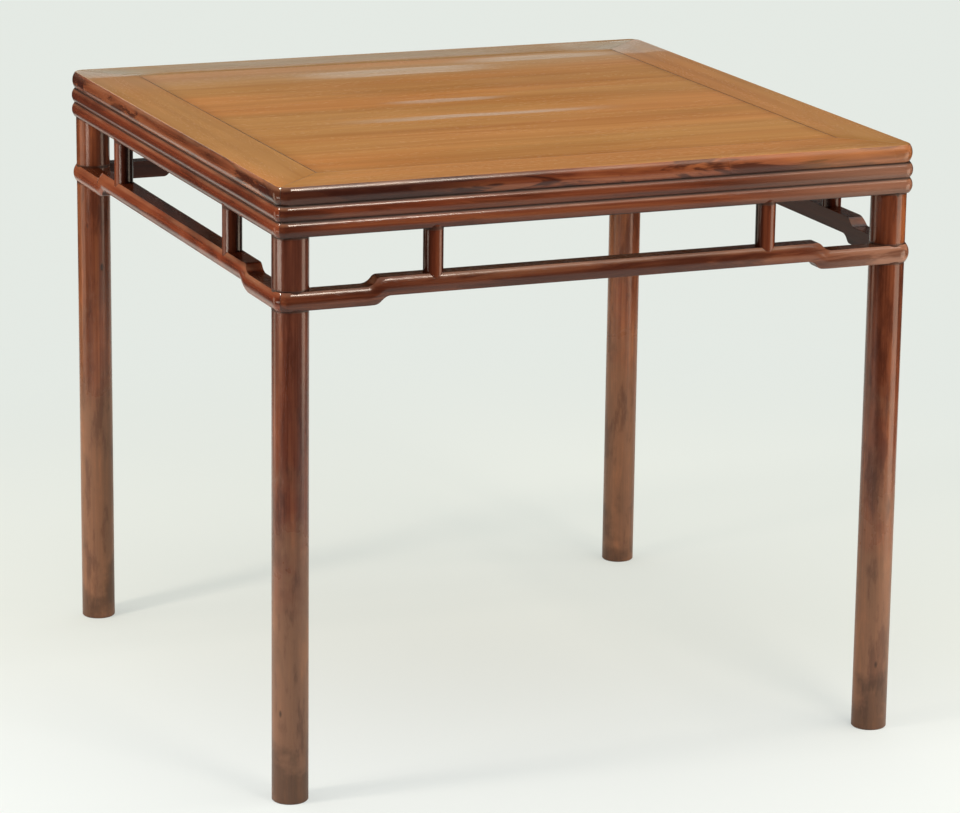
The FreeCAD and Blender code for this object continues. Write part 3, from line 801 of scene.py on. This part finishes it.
def strut_dress(settings, along):
    """Painted shade on the sides and the back, and dirt with painted shade where the strut
    meets the rail.
    """
    def dress(graph, space, tint, rough, height):
        z = graph.axes(graph.position())[2]
        # painted shade on the sides and the back; the whole strut darker as painted shade
        sideways = graph.maths(
            "ABSOLUTE", graph.axes(graph.normal())["XY".index(along)])
        tint = graph.stained(
            tint, settings.inner, graph.between(sideways, 0.45, 0.80, to_high=0.75))
        tint = graph.stained(tint, STRUT_PAINTED_SHADE)
        tint = graph.stained(tint, settings.inner, facing_inward(graph))
        # dirt with painted shade where the strut meets the rail
        tint, rough = dirt_and_shade_line(
            graph, tint, rough, settings, graph.apart(z, RAIL_UNDERSIDE), STRUT_JOINT_DIRT_AND_SHADE)
        return tint, rough, height
    return dress


class TABLE_OT_finish_panel(bpy.types.Operator):
    """Finish the two boards of the floating panel"""
    bl_idname = "table.finish_panel"
    bl_label = "Finish Panel Boards"

    def execute(self, context):
        settings = context.scene.table_wood
        seam_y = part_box("top_panel_front_board")[1].y
        for number, place in enumerate(("front", "rear"), FIRST_TIMBER["top_panel"]):
            finish_piece("top_panel_" + place + "_board", "top", "X", number, settings,
                         dress=board_dress(settings, seam_y), **TOP_LOOK)
        return {"FINISHED"}


class TABLE_OT_finish_top_frame(bpy.types.Operator):
    """Finish the four members of the top frame"""
    bl_idname = "table.finish_top_frame"
    bl_label = "Finish Top Frame"

    def execute(self, context):
        finish_members("top_frame", "top", context.scene.table_wood, frame_dress, **TOP_LOOK)
        return {"FINISHED"}


class TABLE_OT_finish_edge_rails(bpy.types.Operator):
    """Finish the double-bead rails under the top frame"""
    bl_idname = "table.finish_edge_rails"
    bl_label = "Finish Edge Rails"

    def execute(self, context):
        finish_members("edge_rail", "side", context.scene.table_wood, rail_dress, figure=0.4)
        return {"FINISHED"}


class TABLE_OT_finish_stretchers(bpy.types.Operator):
    """Finish the humpback stretchers"""
    bl_idname = "table.finish_stretchers"
    bl_label = "Finish Humpback Stretchers"

    def execute(self, context):
        finish_members("humpback_stretcher", "side", context.scene.table_wood,
                       stretcher_dress, figure=0.5)
        return {"FINISHED"}


class TABLE_OT_finish_legs(bpy.types.Operator):
    """Finish the four round legs"""
    bl_idname = "table.finish_legs"
    bl_label = "Finish Legs"

    def execute(self, context):
        settings = context.scene.table_wood
        for number, corner in enumerate(LEG_STAINS, FIRST_TIMBER["leg"]):
            finish_piece("leg_" + corner, "leg", "Z", number, settings,
                         figure=0.2, contrast=1.15, dress=leg_dress(settings, corner))
        return {"FINISHED"}


class TABLE_OT_finish_struts(bpy.types.Operator):
    """Finish the eight short struts"""
    bl_idname = "table.finish_struts"
    bl_label = "Finish Struts"

    def execute(self, context):
        settings = context.scene.table_wood
        grain_along = dict(MEMBERS)
        struts = sorted(name for name in NODES if name.startswith("strut_"))
        for number, name in enumerate(struts, FIRST_TIMBER["strut"]):
            along = grain_along[name.split("_")[1]]
            finish_piece(name, "side", "Z", number, settings,
                         dress=strut_dress(settings, along))
        return {"FINISHED"}


class TABLE_OT_finish_hidden_wood(bpy.types.Operator):
    """Finish the braces under the panel and the loose tenons"""
    bl_idname = "table.finish_hidden_wood"
    bl_label = "Finish Hidden Wood"

    def execute(self, context):
        settings = context.scene.table_wood
        places = ("left", "middle", "right")
        for number, place in enumerate(places, FIRST_TIMBER["panel_brace"]):
            finish_piece("panel_brace_" + place, "raw", "Y", number, settings,
                         roughness=settings.dull)
        tenons = "edge_rail_loose_tenons"
        finish_piece(tenons, "raw", "Z", FIRST_TIMBER[tenons], settings,
                     roughness=settings.dull)
        return {"FINISHED"}


# -------------------------------------------------------------------- studio

def area_lamp(name, place, target, size, watts, tint, mirrored):
    """Rectangular lamp at a place, facing a target; the camera doesn't see it."""
    data = bpy.data.lights.new(name, "AREA")
    data.shape = "RECTANGLE"
    data.size, data.size_y = size
    data.energy = watts
    data.color = tint
    lamp = bpy.data.objects.new(name, data)
    lamp.visible_camera = False
    lamp.visible_glossy = mirrored
    lamp.location = place
    aim = Vector(target) - Vector(place)
    lamp.rotation_euler = aim.to_track_quat("-Z", "Z").to_euler()
    bpy.context.scene.collection.objects.link(lamp)


def toward_camera(settings):
    """Level direction from the table to the camera."""
    yaw = settings.camera_yaw
    return (-math.sin(yaw), -math.cos(yaw), 0.0)


def floor_paper(settings):
    """Pale paper, darker beyond its lit part; the camera sees its shadows lightened."""
    material = bpy.data.materials.new("floor_paper")
    graph = Graph(material)
    forward = toward_camera(settings)
    sideways = Vector(forward).cross((0.0, 0.0, 1.0))
    camera_side = graph.vector_maths("DOT_PRODUCT", graph.position(), forward)
    aside = graph.maths(
        "ABSOLUTE", graph.vector_maths("DOT_PRODUCT", graph.position(), sideways))
    nearness = graph.between(camera_side, -0.3, 0.5)
    pale = graph.mix(nearness, settings.floor_colour, settings.near_floor_colour)
    bounce = graph.mix(nearness, settings.backdrop_colour, settings.near_glow_colour)
    near = graph.between(camera_side, settings.paper_reach - 0.4, settings.paper_reach + 0.4)
    half_width = settings.paper_width / 2
    wide = graph.between(aside, half_width - 0.3, half_width + 0.3)
    seen = graph.add("LightPath").outputs["Is Camera Ray"]
    unlit = graph.product(
        graph.maths("MAXIMUM", near, wide), graph.maths("SUBTRACT", 1.0, seen))
    paper = graph.add("BsdfPrincipled", {
        "Base Color": graph.mix(unlit, pale, UNLIT_PAPER),
        "Roughness": 0.9, "Specular IOR Level": 0.1})
    glow = graph.add("Emission", {"Color": bounce, "Strength": 1.0})
    away = graph.vector_maths("LENGTH", graph.position())
    share = graph.product(seen, graph.between(away, 0.9, 2.1, settings.shadow_lift, 1.0))
    surface = graph.add("MixShader", {0: share, 1: paper.outputs[0], 2: glow.outputs[0]})
    graph.add("OutputMaterial", {"Surface": surface.outputs[0]})
    return material


def paper_floor(settings):
    """Round pale floor under the table."""
    turns = [2 * math.pi * side / FLOOR_SIDES for side in range(FLOOR_SIDES)]
    ring = [(FLOOR_RADIUS * math.cos(turn), FLOOR_RADIUS * math.sin(turn), 0.0)
            for turn in turns]
    mesh = bpy.data.meshes.new("paper_floor")
    mesh.from_pydata(ring, [], [list(range(FLOOR_SIDES))])
    mesh.materials.append(floor_paper(settings))
    floor = bpy.data.objects.new("paper_floor", mesh)
    bpy.context.scene.collection.objects.link(floor)


def studio_world(settings):
    """Bright ceiling, dim walls and a pale backdrop behind the table."""
    world = bpy.data.worlds.new("studio")
    bpy.context.scene.world = world
    graph = Graph(world)
    direction = graph.add("TexCoord").outputs["Generated"]
    height = graph.axes(direction)[2]
    camera_side = graph.vector_maths("DOT_PRODUCT", direction, toward_camera(settings))
    ceiling = graph.between(height, *(math.sin(math.radians(rise)) for rise in CEILING_RISE))
    dimmed = graph.maths("SUBTRACT", 1.0, graph.between(camera_side, 0.1, 0.8, to_high=0.6))
    light = graph.raised(
        settings.room_strength, graph.product(ceiling, dimmed), settings.sky_strength)
    behind = graph.between(camera_side, *BEHIND_TABLE)
    horizon = graph.between(height, *(math.sin(math.radians(rise)) for rise in HORIZON_RISE))
    room = graph.add("Background", {"Color": (*ROOM_TINT, 1.0), "Strength": light})
    backdrop = graph.add("Background", {
        "Color": (*settings.backdrop_colour, 1.0), "Strength": 1.0})
    seen = graph.maths(
        "MAXIMUM", graph.add("LightPath").outputs["Is Camera Ray"],
        graph.product(horizon, behind))
    blend = graph.add("MixShader", {0: seen, 1: room.outputs[0], 2: backdrop.outputs[0]})
    graph.add("OutputWorld", {"Surface": blend.outputs[0]})


def studio_camera(settings):
    data = bpy.data.cameras.new("studio_camera")
    data.sensor_fit = "HORIZONTAL"
    data.sensor_width = SENSOR_WIDTH
    data.lens = settings.camera_lens
    camera = bpy.data.objects.new("studio_camera", data)
    turn = Matrix.Rotation(-settings.camera_yaw, 4, "Z")
    tilt = Matrix.Rotation(math.pi / 2 - settings.camera_pitch, 4, "X")
    roll = Matrix.Rotation(settings.camera_roll, 4, "Z")
    camera.matrix_world = Matrix.Translation(settings.camera_place) @ turn @ tilt @ roll
    bpy.context.scene.collection.objects.link(camera)
    bpy.context.scene.camera = camera


class TABLE_OT_studio(bpy.types.Operator):
    """Set up the floor, the lights and the camera"""
    bl_idname = "table.studio"
    bl_label = "Set Up Studio"

    def execute(self, context):
        settings = context.scene.table_studio
        paper_floor(settings)
        studio_world(settings)
        for name, setting, place, target, size, tint, mirrored in LAMPS:
            area_lamp(name, place, target, size, getattr(settings, setting), tint, mirrored)
        studio_camera(settings)
        context.scene.view_settings.view_transform = "Standard"
        return {"FINISHED"}


# -------------------------------------------------------------------- add-on

STEPS = (
    TABLE_OT_finish_panel,
    TABLE_OT_finish_top_frame,
    TABLE_OT_finish_edge_rails,
    TABLE_OT_finish_stretchers,
    TABLE_OT_finish_legs,
    TABLE_OT_finish_struts,
    TABLE_OT_finish_hidden_wood,
    TABLE_OT_studio,
)


class TABLE_PT_sidebar(bpy.types.Panel):
    """Steps and settings of the table"""
    bl_idname = "TABLE_PT_sidebar"
    bl_label = "Eight Immortals Table"
    bl_space_type = "VIEW_3D"
    bl_region_type = "UI"
    bl_category = "Table"

    def draw(self, context):
        for step in STEPS:
            self.layout.operator(step.bl_idname)
        for group in (context.scene.table_wood, context.scene.table_studio):
            box = self.layout.box()
            for name in group.__annotations__:
                box.prop(group, name)


CLASSES = (TableWoodSettings, TableStudioSettings, *STEPS, TABLE_PT_sidebar)


def register():
    for item in CLASSES:
        bpy.utils.register_class(item)
    bpy.types.Scene.table_wood = bpy.props.PointerProperty(type=TableWoodSettings)
    bpy.types.Scene.table_studio = bpy.props.PointerProperty(type=TableStudioSettings)


def unregister():
    del bpy.types.Scene.table_studio
    del bpy.types.Scene.table_wood
    for item in reversed(CLASSES):
        bpy.utils.unregister_class(item)


def main():
    register()
    for step in STEPS:
        group, name = step.bl_idname.split(".")
        getattr(getattr(bpy.ops, group), name)()


if __name__ == "__main__":
    main()
